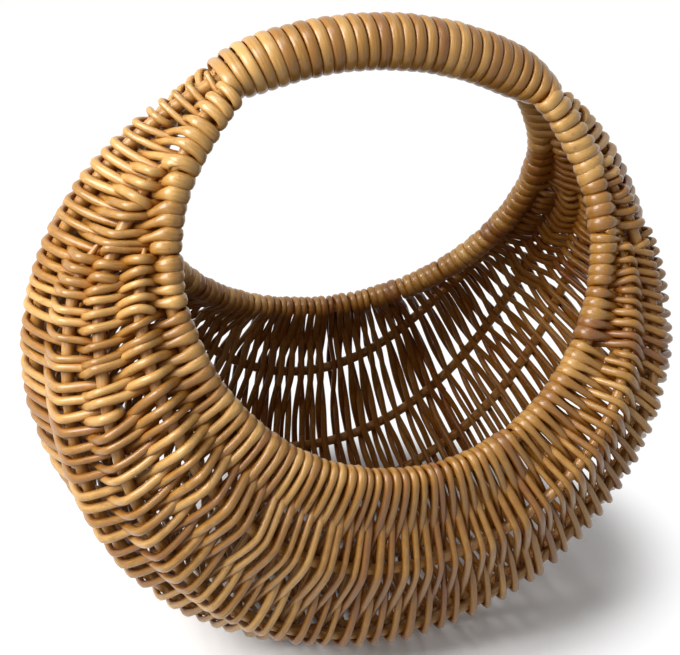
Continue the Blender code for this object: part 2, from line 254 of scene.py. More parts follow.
class RibSizes(bpy.types.PropertyGroup):
    """The three ribs of each side."""

    radius: length("Rib Radius", "Half the thickness of a rib", 0.0036)
    tip_radius: length("Tip Radius", "Half the thickness of its cut end", 0.0011)
    taper: length("Taper", "Length of the pointed end", 0.030)
    low_end: angle("Low Rib End", "Where the lowest rib ends, from the lowest point", 118)
    middle_end: angle("Middle Rib End", "Where the middle rib ends", 135)
    high_end: angle("High Rib End", "Where the highest rib ends", 122)
    low_rise: share("Low Rib Rise", "How far its end bends towards the rim, as a share of the way there", 0.10)
    middle_rise: share("Middle Rib Rise", "The same for the middle rib", 0.24)
    high_rise: share("High Rib Rise", "The same for the highest rib", 0.05)
    rise_start: angle("Rise Start", "Where that bend starts", 108)


class WeaverSizes(bpy.types.PropertyGroup):
    """The willow rods that are woven from rim to rim."""

    passes: count("Passes", "How many times a weaver crosses from one rim to the other", 188)
    short_rows: count("Short Rows", "How many times a side it turns back at a rib to fill the sides", 5)
    radius: length("Weaver Radius", "Half the thickness of a weaver midway along a rod", 0.00232)
    taper: share("Taper", "How much thicker or thinner a rod's ends are than its middle", 0.10)
    unevenness: share("Unevenness", "How much thicker or thinner one rod is than another", 0.12)
    pairing: share("Pairing", "How near the two passes that share a turn come to lying behind each other", 0.60)
    rim_crowding: share("Rim Crowding", "How much closer the turns lie at a rim's lowest point", 0.17)
    keel_spreading: share("Keel Spreading", "How much further apart the passes lie under the basket", 0.08)
    rib_lag: share("Rib Lag", "How much further apart still they lie between rim and keel", 0.22)
    tautness: share("Tautness", "How sharply a weaver bends over a rib", 0.62)
    turn_flare: share("Turn Flare", "How much wider a weaver lies where it turns round a rim", 0.08)
    turn_squash: share("Turn Squash", "How much thinner it lies there", 0.05)
    shoulder_flare: share("Shoulder Flare", "How much wider it turns at the sides and shoulders", 0.62)
    shoulder_growth: share("Shoulder Growth", "How much thicker the shoulders' rods are", 0.04)
    junction_growth: share("Junction Growth", "How much further in the turns reach beside the handle", 0.65)
    wander: share("Wander", "How far a pass strays, as a share of the room between passes", 0.20)
    seed: count("Seed", "Chooses the rods' lengths, tones and wander", 11)


class WindingSizes(bpy.types.PropertyGroup):
    """The strip that is wound round the handle."""

    turns: count("Turns", "How many times it goes round", 30)
    half_width: length("Half Width", "Half the strip's width", 0.00345)
    half_thickness: length("Half Thickness", "Half its thickness", 0.0016)
    start_angle: angle("Start", "Where the winding starts, from the lowest point", 149.5)
    filler_radius: length("Filler Radius", "Half the thickness of the rods that fill the handle out", 0.0038)
    clearance: length("Clearance", "Room between the strip and the rods", 0.0006)
    filler_taper: length("Filler Taper", "Length of the fillers' pointed ends", 0.030)
    filler_tip: length("Filler Tip", "Half the thickness of their cut ends", 0.0010)


class WillowLook(bpy.types.PropertyGroup):
    """Peeled willow under clear varnish, with painted shade between the rods and inside the basket."""

    pale: colour("Pale", "Sapwood where the light catches it", "#c79b57")
    honey: colour("Honey", "The usual tone", "#966823")
    amber: colour("Amber", "The darker, redder rods", "#79491a")
    # Real dark marks on the willow, and also the colour of the painted shade inside the basket.
    stain_and_shade: colour("Stain And Shade", "Marks, ends and old wood inside", "#5c2607")
    # Painted shade: the dark red that the colour turns to between the rods, where shade falls.
    crevice_shade: colour("Crevice Shade", "Thick varnish between the rods", "#93480f")
    # How strong that painted shade between the rods is.
    crevice_shade_amount: share("Crevice Shade Amount", "How much of it lies there", 0.65)
    # Painted shade: how dark the willow that faces into the basket is made, where shade falls inside.
    inner_shade_depth: share("Inner Shade", "How dark the inside has become", 0.60)
    gloss: share("Gloss", "How much of the varnish's own shine shows", 0.42)


class Wall:
    """The basket's surface midway through the weave, from its hoops' sizes."""

    def __init__(self, scene):
        self.hoop = scene.basket_hoops
        self.shape = scene.basket_wall
        self.pitch = 2 * self.hoop.rod_radius + self.hoop.rod_gap
        self.foot = self.shape.half_thickness - self.shape.foot_worn
        self.middle_height = self.foot + self.hoop.keel_half_height - self.shape.base_press
        span = self.hoop.parting_half_span / self.hoop.keel_half_width
        self.parting_height = self.middle_height + self.hoop.keel_half_height * math.sqrt(1 - span**2)
        turn = np.linspace(0, ARC_SHARE * math.pi, ARC_POINTS)
        radius = self.hoop.rim_radius
        down = self.hoop.rim_drop - radius + radius * np.cos(turn)
        x = radius * np.sin(turn)
        below = self.middle_height - self.parting_height + down * math.cos(self.hoop.rim_lean)
        self.rim_directions = np.arctan2(x, below)
        self.rim_reaches = np.hypot(x, below)
        self.rim_depths = self.pitch + down * math.sin(self.hoop.rim_lean)

    @staticmethod
    def eased(size, ease):
        """The size where it is well above zero, and zero well below, with an easy bend between."""
        return ease * np.logaddexp(0, size / ease)

    def keel_reach(self, theta):
        across = np.sin(theta) / self.hoop.keel_half_width
        up = np.cos(theta) / self.hoop.keel_half_height
        return 1 / np.sqrt(across**2 + up**2)

    def rim_place(self, theta):
        """A rim hoop's reach and depth in the direction theta."""
        up = np.abs(theta)
        inside_keel = self.keel_reach(up) - np.interp(up, self.rim_directions, self.rim_reaches)
        beside_keel = np.interp(up, self.rim_directions, self.rim_depths) - self.pitch
        reach = self.keel_reach(up) - self.eased(inside_keel, self.hoop.bend_ease)
        return reach, self.pitch + self.eased(beside_keel, self.hoop.bend_ease)

    def place(self, theta, reach, depth):
        z = self.middle_height - reach * np.cos(theta)
        z = self.foot + self.eased(z - self.foot, self.shape.base_ease)
        return np.stack([reach * np.sin(theta), -depth, z], axis=-1)

    @staticmethod
    def side_share(theta):
        """0 under the basket, 1 at its sides and above."""
        return np.sin(np.minimum(np.abs(theta), math.pi / 2)) ** 2

    def rim_angle(self, theta):
        upper = (np.abs(theta) - math.pi / 2) / (self.shape.parting_angle - math.pi / 2)
        upper = np.clip(upper, 0, 1)
        upper = upper * upper * (3 - 2 * upper)
        return self.shape.rim_angle + (self.shape.shoulder_rim_angle - self.shape.rim_angle) * upper

    def point(self, theta, around):
        """A point of the wall: around runs from 0 at the keel to the rim's angle, front positive."""
        theta, around = np.broadcast_arrays(np.asarray(theta, float), np.asarray(around, float))
        low, side = self.shape.squareness_base, self.shape.squareness_side
        power = low + (side - low) * self.side_share(theta)

        def oval(turned):
            size = (np.abs(np.cos(turned)) ** power + np.abs(np.sin(turned)) ** power) ** (1 / power)
            return np.cos(turned) / size, np.sin(turned) / size

        reach, depth = self.rim_place(theta)
        rim_cos, rim_sin = oval(self.rim_angle(theta))
        middle = (reach - self.keel_reach(theta) * rim_cos) / (1 - rim_cos)
        cos, sin = oval(around)
        return self.place(theta, middle + (self.keel_reach(theta) - middle) * cos, depth / rim_sin * sin)


class Member:
    """A hoop or a rib that the weavers cross, with its place on the wall."""

    def __init__(self, wall, base_degrees, side_degrees, radius, end, rise=0.0, rise_start=0.0):
        full = math.degrees(wall.shape.rim_angle)
        self.wall = wall
        self.base = base_degrees / full
        self.side = side_degrees / full
        self.radius = radius
        self.end = end
        self.rise = math.copysign(rise, side_degrees)
        self.rise_start = rise_start
        self.thetas = np.radians(np.linspace(-WEAVE_END, WEAVE_END, RUN_POINTS))
        run = run_along(self.point(self.thetas))
        self.shares = run / run[-1]

    def around(self, theta):
        place = self.base + (self.side - self.base) * self.wall.side_share(theta)
        if self.rise:
            risen = (np.abs(theta) - self.rise_start) / (self.end - self.rise_start)
            place = place + self.rise * np.clip(risen, 0, 1) ** RISE_POWER
        return place * self.wall.rim_angle(theta)

    def point(self, theta):
        return self.wall.point(theta, self.around(theta))

    def theta_at(self, run_share, sizes):
        """Where a pass crosses, by its share of the way from the left end to the right one. Passes lie closer
        at the middle of a rim, and further apart at the middle of the keel and of the ribs."""
        way_out = abs(self.side)
        crowd = sizes.rim_crowding * way_out**3 - sizes.keel_spreading * (1 - way_out**3)
        crowd -= sizes.rib_lag * way_out * (1 - way_out)
        run_share = run_share + crowd / (2 * math.pi) * np.sin(2 * math.pi * run_share)
        return float(np.interp(run_share, self.shares, self.thetas))

    def axes(self, theta):
        """The point at theta, and the ways across the member towards the front, and out of the wall."""
        step = DIRECTION_STEP
        along = self.point(theta + step) - self.point(theta - step)
        around = self.around(theta)
        across = self.wall.point(theta, around + step) - self.wall.point(theta, around - step)
        along = unit(along)
        out = unit(np.cross(along, across))
        return self.point(theta), np.cross(out, along), out


def members_of(scene, wall):
    """The nine members from the front rim round under the keel to the back rim."""
    ribs = scene.basket_ribs
    full = math.degrees(wall.shape.rim_angle)
    row = []
    for side in (1, -1):
        for name, (base, wide) in RIB_PLACES.items():
            bend = (getattr(ribs, name + "_end"), getattr(ribs, name + "_rise"), ribs.rise_start)
            row.append(Member(wall, side * base, side * wide, ribs.radius, *bend))
        row.append(Member(wall, side * full, side * full, wall.hoop.rod_radius, math.pi))
    keel = Member(wall, 0, 0, wall.hoop.rod_radius, math.pi)
    front, back = row[:4], row[4:]
    return front[::-1] + [keel] + back


class Strand:
    """A row of points along one rod, with its section and its tone at each."""

    def __init__(self, points, outward, half_width, half_thickness, tone, closed=False, wall_out=None):
        self.points = np.asarray(points, float)
        self.wall_out = outward if wall_out is None else wall_out
        total = len(self.points)
        way = unit(np.gradient(self.points, axis=0))
        outward = outward - way * np.sum(outward * way, axis=1, keepdims=True)
        self.outward = unit(outward)
        self.half_width = np.broadcast_to(half_width, total).astype(float)
        self.half_thickness = np.broadcast_to(half_thickness, total).astype(float)
        self.tone = np.broadcast_to(tone, total).astype(float)
        self.along = run_along(self.points)
        self.closed = closed


def add_node(tree, kind, inputs=(), give=None, **settings):
    """One node with its settings, its plain values and its links. The result is the output to give, or else
    the node."""
    node = tree.nodes.new(kind)
    for name, value in settings.items():
        setattr(node, name, value)
    for key, value in dict(inputs).items():
        if isinstance(value, bpy.types.NodeSocket):
            tree.links.new(value, node.inputs[key])
        else:
            node.inputs[key].default_value = value
    return node if give is None else node.outputs[give]


def background_rays(tree):
    """1 for the rays that show the background: the camera's, and those of reflections and of glass."""
    path = add_node(tree, "ShaderNodeLightPath").outputs
    seen = path["Is Camera Ray"]
    for kind in ("Is Glossy Ray", "Is Transmission Ray"):
        seen = add_node(tree, MATHS, {0: seen, 1: path[kind]}, "Value", operation="MAXIMUM")
    return seen


def sweep_tree():
    """Geometry Nodes that turn rows of points into rods with an oval section, wider or thinner as their
    attributes say. Grain is stored round and along each rod, for the willow's streaks."""
    name = "Willow rod sweep"
    tree = bpy.data.node_groups.get(name)
    if tree:
        return tree
    tree = bpy.data.node_groups.new(name, "GeometryNodeTree")
    sockets = tree.interface
    sockets.new_socket(name="Geometry", in_out="INPUT", socket_type="NodeSocketGeometry")
    sockets.new_socket(name="Sides", in_out="INPUT", socket_type="NodeSocketInt").default_value = 10
    sockets.new_socket(name="Material", in_out="INPUT", socket_type="NodeSocketMaterial")
    sockets.new_socket(name="Geometry", in_out="OUTPUT", socket_type="NodeSocketGeometry")
    node = functools.partial(add_node, tree)
    start = node("NodeGroupInput").outputs
    kinds = {
        "centre": "FLOAT_VECTOR",
        "outward": "FLOAT_VECTOR",
        "wall_out": "FLOAT_VECTOR",
        "half_width": "FLOAT",
        "half_thickness": "FLOAT",
        "along": "FLOAT",
    }
    stored = {
        key: node("GeometryNodeInputNamedAttribute", {"Name": key}, "Attribute", data_type=kind)
        for key, kind in kinds.items()
    }
    centre, outward = stored["centre"], stored["outward"]
    position = node("GeometryNodeInputPosition", give="Position")
    # A ring point's place on a unit ring is split into its part out of the wall and its part across.
    offset = node(VECTOR_MATH, {0: position, 1: centre}, "Vector", operation="SUBTRACT")
    offset = node(VECTOR_MATH, {0: offset}, "Vector", operation="NORMALIZE")
    rise = node(VECTOR_MATH, {0: offset, 1: outward}, "Value", operation="DOT_PRODUCT")
    risen = node(VECTOR_MATH, {0: outward, "Scale": rise}, "Vector", operation="SCALE")
    flat = node(VECTOR_MATH, {0: offset, 1: risen}, "Vector", operation="SUBTRACT")
    thick = node(VECTOR_MATH, {0: risen, "Scale": stored["half_thickness"]}, "Vector", operation="SCALE")
    wide = node(VECTOR_MATH, {0: flat, "Scale": stored["half_width"]}, "Vector", operation="SCALE")
    shaped = node(VECTOR_MATH, {0: thick, 1: wide}, "Vector", operation="ADD")
    target = node(VECTOR_MATH, {0: centre, 1: shaped}, "Vector", operation="ADD")
    # Grain runs along the rod, and closes on itself round it.
    across = node(VECTOR_MATH, {0: flat}, "Value", operation="LENGTH")
    grain = node("ShaderNodeCombineXYZ", {"X": rise, "Y": across, "Z": stored["along"]}, "Vector")
    # How far each point faces into the basket, from 0 outside to 1 inside; the willow's painted shade inside is
    # read from it.
    facing = node(VECTOR_MATH, {0: offset, 1: stored["wall_out"]}, "Value", operation="DOT_PRODUCT")
    inner = node(MAP_RANGE, {"Value": facing, "From Min": 1.0, "From Max": -1.0}, "Result")

    curve = node("GeometryNodeMeshToCurve", {"Mesh": start["Geometry"]}, "Curve")
    curve = node(
        "GeometryNodeStoreNamedAttribute",
        {"Geometry": curve, "Name": "centre", "Value": position},
        "Geometry",
        data_type="FLOAT_VECTOR",
        domain="POINT",
    )
    curve = node("GeometryNodeSetCurveNormal", {"Curve": curve, "Normal": outward}, "Curve", mode="FREE")
    ring = node("GeometryNodeCurvePrimitiveCircle", {"Resolution": start["Sides"], "Radius": 1.0}, "Curve")
    shape = node("GeometryNodeCurveToMesh", {"Curve": curve, "Profile Curve": ring, "Fill Caps": True}, "Mesh")
    for key, value, kind in (("grain", grain, "FLOAT_VECTOR"), ("inner", inner, "FLOAT")):
        shape = node(
            "GeometryNodeStoreNamedAttribute",
            {"Geometry": shape, "Name": key, "Value": value},
            "Geometry",
            data_type=kind,
            domain="POINT",
        )
    shape = node("GeometryNodeSetPosition", {"Geometry": shape, "Position": target}, "Geometry")
    shape = node("GeometryNodeSetShadeSmooth", {"Geometry": shape}, "Geometry")
    shape = node("GeometryNodeRealizeInstances", {"Geometry": shape}, "Geometry")
    material = start["Material"]
    shape = node("GeometryNodeSetMaterial", {"Geometry": shape, "Material": material}, "Geometry")
    tree.links.new(shape, node("NodeGroupOutput").inputs[0])
    return tree


def line_mesh(name, strands):
    """A mesh of bare edges along the strands, with what the sweep reads stored on its points."""
    points = np.concatenate([strand.points for strand in strands])
    edges = []
    first = 0
    for strand in strands:
        last = first + len(strand.points)
        edges += [(index, index + 1) for index in range(first, last - 1)]
        if strand.closed:
            edges.append((last - 1, first))
        first = last
    mesh = bpy.data.meshes.new(name)
    mesh.from_pydata(points.tolist(), edges, [])
    for key in ("half_width", "half_thickness", "tone", "along"):
        values = np.concatenate([getattr(strand, key) for strand in strands]).astype(np.float32)
        mesh.attributes.new(key, "FLOAT", "POINT").data.foreach_set("value", values)
    for key in ("outward", "wall_out"):
        vectors = np.concatenate([getattr(strand, key) for strand in strands]).astype(np.float32)
        mesh.attributes.new(key, "FLOAT_VECTOR", "POINT").data.foreach_set("vector", vectors.ravel())
    return mesh


def swept_piece(name, strands, sides, material, nodes):
    """The strands as swept rods, made a plain piece that rides on the frame and replaces the nodes."""
    source = bpy.data.objects.new(name + "_line", line_mesh(name, strands))
    bpy.context.scene.collection.objects.link(source)
    modifier = source.modifiers.new("Sweep", "NODES")
    modifier.node_group = sweep_tree()
    inputs = {"Sides": sides, "Material": material}
    for item in modifier.node_group.interface.items_tree:
        if item.name in inputs:
            modifier[item.identifier] = inputs[item.name]
    graph = bpy.context.evaluated_depsgraph_get()
    mesh = bpy.data.meshes.new_from_object(
        source.evaluated_get(graph), preserve_all_data_layers=True, depsgraph=graph
    )
    if not mesh.polygons:
        raise RuntimeError(f"{name} came out empty")
    mesh.name = name
    source.modifiers.remove(modifier)
    bpy.data.objects.remove(source)
    for key in ("outward", "wall_out", "half_width", "half_thickness", "centre", "along"):
        if key in mesh.attributes:
            mesh.attributes.remove(mesh.attributes[key])
    piece = bpy.data.objects.new(name, mesh)
    bpy.context.scene.collection.objects.link(piece)
    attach(piece, BODY)
    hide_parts(*nodes)


def varnished_willow(look, kind):
    """Peeled white willow, boiled to a buff tone and varnished: fine streaks run along each rod, some rods are
    paler and some redder, and the varnish gives a bright narrow shine over a softer one. Shade between the rods
    and inside the basket is painted into the colour and cuts the shine."""
    name, paler, streak_mm = WILLOWS[kind]
    material = bpy.data.materials.get(name)
    if material:
        return material
    material = bpy.data.materials.new(name)
    material.use_nodes = True
    tree = material.node_tree
    node = functools.partial(add_node, tree)
    grain = node("ShaderNodeAttribute", give="Vector", attribute_name="grain")
    tone = node("ShaderNodeAttribute", give="Fac", attribute_name="tone")
    inner = node("ShaderNodeAttribute", give="Fac", attribute_name="inner")
    place = node("ShaderNodeTexCoord", give="Object")
    scale = (STREAKS_ACROSS, STREAKS_ACROSS, 1000 / streak_mm)
    lane = node("ShaderNodeMapping", {"Vector": grain, "Scale": scale}, "Vector")
    apart = node("ShaderNodeCombineXYZ", {"X": tone, "Y": tone}, "Vector")
    apart = node(VECTOR_MATH, {0: apart, "Scale": RODS_APART}, "Vector", operation="SCALE")
    lane = node(VECTOR_MATH, {0: lane, 1: apart}, "Vector", operation="ADD")
    streaks = node(NOISE, {"Vector": lane, "Scale": 1.0, "Detail": 4.0, "Roughness": 0.6}, "Fac")
    patches = node(NOISE, {"Vector": place, "Scale": PATCHES_PER_METRE, "Detail": 2.0}, "Fac")
    mixed = node(MATHS, {0: streaks, 1: STREAK_SHARE, 2: tone}, "Value", operation="MULTIPLY_ADD")
    mixed = node(MATHS, {0: patches, 1: PATCH_SHARE, 2: mixed}, "Value", operation="MULTIPLY_ADD")
    mixed = node(MATHS, {0: mixed, 1: paler - TONE_MIDDLE}, "Value", operation="ADD")
    ramp = node("ShaderNodeValToRGB", {"Fac": mixed})
    stops = ramp.color_ramp.elements
    stops[0].position, stops[0].color = 0.05, (*look.amber, 1)
    stops[1].position, stops[1].color = 0.95, (*look.pale, 1)
    stops.new(0.48).color = (*look.honey, 1)
    marks = {"Vector": place, "Scale": MARKS_PER_METRE, "Detail": 3.0, "Roughness": 0.7}
    marks = {"Value": node(NOISE, marks, "Fac"), "From Min": 0.62, "From Max": 0.78, "To Max": 0.5}
    marked = node(MAP_RANGE, marks, "Result")
    # Painted shade: willow that faces into the basket is darkened towards the dark marks' colour, as shade
    # falls inside.
    painted_inner_shade = node(MAP_RANGE, {"Value": inner, "From Min": 0.45, "To Max": look.inner_shade_depth}, "Result")
    # Painted shade: where another rod lies close, the colour turns a darker red and the shine is cut, as shade
    # falls between the rods.
    open_share = node("ShaderNodeAmbientOcclusion", {"Distance": CREVICE_SHADE_REACH}, "AO", samples=3)
    crevice_shade_range = {"Value": open_share, "From Min": 0.75, "From Max": 0.15, "To Max": look.crevice_shade_amount}
    crevice_shade = node(MAP_RANGE, crevice_shade_range, "Result")
    # A colour mix takes its amount at input 0 and its colours at 6 and 7, and gives the result at output 2.
    body = ramp.outputs["Color"]
    for amount, tint in ((marked, look.stain_and_shade), (painted_inner_shade, look.stain_and_shade), (crevice_shade, look.crevice_shade)):
        body = node("ShaderNodeMix", {0: amount, 6: body, 7: (*tint, 1)}, 2, data_type="RGBA")
    # Painted shade also cuts the varnish's shine, between the rods and inside the basket.
    painted_shade_sum = node(MATHS, {0: crevice_shade, 1: painted_inner_shade}, "Value", operation="ADD")
    shine = {"From Max": look.crevice_shade_amount, "To Min": look.gloss, "To Max": CREVICE_SHINE_SHARE * look.gloss}
    shine = node(MAP_RANGE, {"Value": painted_shade_sum, **shine}, "Result")
    links = {
        "Base Color": body,
        "Coat Weight": shine,
        "Specular IOR Level": shine,
        "Roughness": node(MAP_RANGE, {"Value": streaks, "To Min": 0.30, "To Max": 0.48}, "Result"),
        "Normal": node("ShaderNodeBump", {"Height": streaks, "Strength": 0.35, "Distance": 0.0004}, "Normal"),
    }
    shader = tree.nodes["Principled BSDF"].inputs
    for key, value in links.items():
        tree.links.new(value, shader[key])
    shader["IOR"].default_value = WILLOW_IOR
    shader["Coat IOR"].default_value = WILLOW_IOR
    shader["Coat Roughness"].default_value = 0.16
    return material


class BASKET_OT_hoops(bpy.types.Operator):
    """Make the keel hoop and the two rim hoops as smooth rods"""

    bl_idname = "basket.hoops"
    bl_label = "Hoops"

    def execute(self, context):
        wall = Wall(context.scene)
        material = varnished_willow(context.scene.basket_look, "hoop")
        theta = np.radians(np.arange(-180, 180, HOOP_STEP))
        thick = wall.hoop.rod_radius * (1 + HOOP_SWELL * np.sin(HOOP_SWELLS * theta + 1))
        for name, node, side in HOOPS:
            reach, depth = wall.rim_place(theta) if side else (wall.keel_reach(theta), 0 * theta)
            points = wall.place(theta, reach, side * depth)
            outward = points - np.array([0, 0, wall.middle_height])
            rod = Strand(points, outward, thick, thick, MIDDLE_TONE, closed=True)
            swept_piece(name, [rod], SIDES["hoop"], material, [node])
        return {"FINISHED"}


class BASKET_OT_ribs(bpy.types.Operator):
    """Make the ribs, pointed at both ends"""

    bl_idname = "basket.ribs"
    bl_label = "Ribs"

    def execute(self, context):
        wall = Wall(context.scene)
        sizes = context.scene.basket_ribs
        material = varnished_willow(context.scene.basket_look, "rib")
        row = members_of(context.scene, wall)
        for word, ribs in (("front", row[3:0:-1]), ("back", row[5:8])):
            for name, member in zip(RIB_PLACES, ribs):
                points, _, out = member.axes(np.linspace(-member.end, member.end, RIB_POINTS))
                run = run_along(points)
                room = np.clip(np.minimum(run, run[-1] - run) / sizes.taper, 0, 1)
                radius = sizes.tip_radius + (sizes.radius - sizes.tip_radius) * room**POINT_POWER
                rod = Strand(points, out, radius, radius, RIB_TONE)
                name, node = f"{word}_{name}_rib_rod", f"{word}_rib_{name}"
                swept_piece(name, [rod], SIDES["rib"], material, [node])
        return {"FINISHED"}


def hermite(start, end, start_way, end_way, steps):
    """Points of a smooth bend from start up to but not including end."""
    u = np.arange(steps)[:, None] / steps
    return (
        (2 * u**3 - 3 * u**2 + 1) * start
        + (u**3 - 2 * u**2 + u) * start_way
        + (3 * u**2 - 2 * u**3) * end
        + (u**3 - u**2) * end_way
    )


class Weave:
    """The path of the weavers: from rim to rim over and under the members, and round each rim."""

    step = 0.0026  # metres between two points of a pass
    turn_points = 12
    turn_reach = 0.010  # how near its turn a weaver starts to widen
    looseness = 0.10  # how much higher over a member one row may lie than another
    front_pairing = 0.6  # how much of the pairing is left in front of the keel
    stray_alone, stray_together = 0.6, 0.8  # how far one crossing strays, and a row as a whole
    short_rows = (0.045, 0.235)  # where the short rows of a side start and end, as shares of the way round
    evening = 5  # how many rows to each side of a short one move apart
    rib_tip = 0.02  # radians at a rib's end that rows leave free
    shoulder = (math.radians(40), math.radians(60))  # where the shoulder starts, and how far it takes to grow
    handle = (math.radians(132), math.radians(13))  # the same for the turns beside the handle
    foot_ease = 0.0004  # how gently a weaver bends flat where the basket stands on it
    rod_lengths = (0.75, 1.6)
    shortest_rod = 0.3
    overlap = 4  # points by which a rod runs on past its neighbour's end
    thickness_limits = (0.85, 1.15)
    swell = 0.04  # how much a rod swells and thins along it
    swell_paces = (60, 110)  # radians in a metre
    swell_starts = (0, 6)
    tuck, tuck_depth, tuck_share = 0.022, 0.0026, 0.35  # the tucked end's length, depth and loss of thickness
    tones = 0.17  # how much rods differ in tone

    def __init__(self, scene, wall):
        self.sizes = scene.basket_weavers
        self.wall = wall
        self.members = members_of(scene, wall)
        self.random = np.random.default_rng(self.sizes.seed)
        self.points, self.outward, self.wall_out, self.turned, self.sides = [], [], [], [], []
        self.crossings = []
        # Keeps one side of the rod foremost, also where a pass leaves the wall on the face it began on.
        self.facing = 1
        rows, times = self.plan()
        drift = self.random.normal(0, 1, (len(rows), len(self.members)))
        common = self.random.normal(0, 1, (len(rows), 1))
        strays = self.stray_alone * drift + self.stray_together * common
        self.strays = strays * self.sizes.wander / self.sizes.passes
        self.times = self.even_times(rows, times)
        passes = [self.crossing_keys(index, row) for index, row in enumerate(rows)]
        for keys, after in zip(passes, passes[1:] + [None]):
            self.weave_pass(keys)
            if after:
                self.turn(keys[-1], after[0])
        for key in ("points", "outward", "wall_out", "turned", "sides"):
            setattr(self, key, np.array(getattr(self, key)))

    def plan(self):
        """The members between which each row runs, and how far round the basket it lies, from 0 to 1."""
        last = len(self.members) - 1
        total = self.sizes.passes
        side = np.linspace(*self.short_rows, self.sizes.short_rows)
        spots = np.concatenate([side, 1 - side]) * total
        spots = set(np.round(spots + self.random.uniform(-1.0, 1.0, len(spots))).astype(int))
        rows, times = [], []
        for index in range(total):
            start, end = (last, 0) if index % 2 == 0 else (0, last)
            if index in spots:
                inset = 1 + len(rows) % 2
                early = inset if end == 0 else last - inset
                rows += [(start, early), (early, last - early), (last - early, end)]
            else:
                rows.append((start, end))
            times += [(index + 0.5) / total] * (len(rows) - len(times))
        return rows, np.array(times)

    def even_times(self, rows, times):
        """Where each row lies on each member, with the rows beside a short one moved apart to make room."""
        places = np.empty((len(rows), len(self.members)))
        for place in range(len(self.members)):
            on_member = [index for index, row in enumerate(rows) if min(row) <= place <= max(row)]
            places[:, place] = times
            places[on_member, place] = smoothed(
                times[on_member], self.evening, "reflect", reflect_type="odd"
            )
        return places

    @staticmethod
    def grown(theta, start, room):
        """How much of something that grows from start on is there, from 0 to 1."""
        return float(np.clip((abs(theta) - start) / room, 0, 1))

    def crossing_keys(self, index, row):
        """Where one row crosses each member, in the order in which it travels."""
        keys = []
        to_front = row[0] > row[1]
        keel_place = len(self.members) // 2
        shares = self.times[index] + self.strays[index]
        thetas = [member.theta_at(shares[place], self.sizes) for place, member in enumerate(self.members)]
        present = [
            place
            for place, member in enumerate(self.members)
            if abs(thetas[place]) < member.end - self.rib_tip
        ]
        for rank, place in enumerate(present):
            if not min(row) <= place <= max(row):
                continue
            member, theta, share_round = self.members[place], thetas[place], shares[place]
            point, across, out = member.axes(theta)
            # Rows lie over and under the keel by turns, and so outwards from it, also where a rib has ended.
            sign = 1 if (rank - present.index(keel_place) + index) % 2 else -1
            # Two passes that share a turn at the front rim draw together in front, and at the back likewise.
            drawn = float(np.clip((keel_place - place) / 2, -1, 1)) * (0.5 if to_front else -0.5)
            pairing = self.sizes.pairing * (self.front_pairing if place < keel_place else 1)
            drawn_share = share_round + drawn * pairing / self.sizes.passes
            drawn_theta = member.theta_at(drawn_share, self.sizes)
            high = self.grown(theta, *self.shoulder)
            size = self.sizes.radius * (1 + self.sizes.shoulder_growth * high**2)
            lift = member.radius + size * (1 + self.looseness * self.random.random())
            keys.append(
                {
                    "spot": point + sign * lift * out,
                    "point": point,
                    "drawn": member.point(drawn_theta) - point,
                    # A pass travels towards the front rim or away from it.
                    "edge": (1 if to_front else -1) * across,
                    "out": out,
                    "sign": sign,
                    "lift": lift,
                    # Near the handle a turn also takes in the pointed ends of the rods that fill it out.
                    "stretch": 1 + self.sizes.junction_growth * self.grown(theta, *self.handle),
                    "high": high,
                    "at_rim": float(place in (0, len(self.members) - 1)),
                }
            )
        return keys[::-1] if to_front else keys

    def weave_pass(self, keys):
        """From the first member that a row crosses to the last, over one and under the next."""
        face = keys[0]["sign"]
        ways = [keys[0]["edge"]]
        for before, key, after in zip(keys, keys[1:], keys[2:]):
            chord = after["point"] - before["point"]
            chord = chord - key["out"] * np.dot(chord, key["out"])
            ways.append(unit(chord))
        ways.append(keys[-1]["edge"])
        for place, (key, after) in enumerate(zip(keys, keys[1:])):
            room = np.linalg.norm(after["spot"] - key["spot"])
            pull = self.sizes.tautness * room
            steps = max(5, round(room / self.step))
            span = hermite(key["spot"], after["spot"], pull * ways[place], pull * ways[place + 1], steps)
            ease = (np.arange(steps) / steps)[:, None]
            # Midway between two members there is no room behind a neighbour, so there the passes lie evenly.
            near_key = np.cos(math.pi * np.minimum(ease, 0.5)) ** 2
            near_after = np.cos(math.pi * np.minimum(1 - ease, 0.5)) ** 2
            span = span + near_key * key["drawn"] + near_after * after["drawn"]
            wall_out = unit(key["out"] * (1 - ease) + after["out"] * ease)
            near = np.zeros(steps)
            if place == 0:
                near = (1 - np.arange(steps) * self.step / self.turn_reach) * key["at_rim"]
            else:
                self.crossings.append((len(self.points), key["sign"]))
            if place == len(keys) - 2:
                near_end = 1 - (steps - np.arange(steps)) * self.step / self.turn_reach
                near = np.maximum(near, near_end * after["at_rim"])
            high = key["high"] * (1 - ease[:, 0]) + after["high"] * ease[:, 0]
            outward = wall_out * face * self.facing
            self.extend(span, outward, wall_out, np.clip(near, 0, 1), high)
        self.facing *= face * keys[-1]["sign"]

    def turn(self, key, after):
        """Round a rim's rod or a rib, from one face of the wall to the other."""
        ease = np.arange(self.turn_points) / self.turn_points
        swing = ease * math.pi * (1 if after["sign"] != key["sign"] else 2)
        start, end = key["point"] + key["drawn"], after["point"] + after["drawn"]
        middle = start + (end - start) * (ease * ease * (3 - 2 * ease))[:, None]
        lift = key["lift"] + (after["lift"] - key["lift"]) * ease[:, None]
        ray = np.outer(np.cos(swing) * key["sign"], key["out"])
        ray = ray + np.outer(np.sin(swing) * key["stretch"], key["edge"])
        wall_out = np.tile(key["out"], (len(ease), 1))
        turned, high = (np.full(len(ease), key[name]) for name in ("at_rim", "high"))
        self.extend(middle + lift * ray, ray * self.facing, wall_out, turned, high)

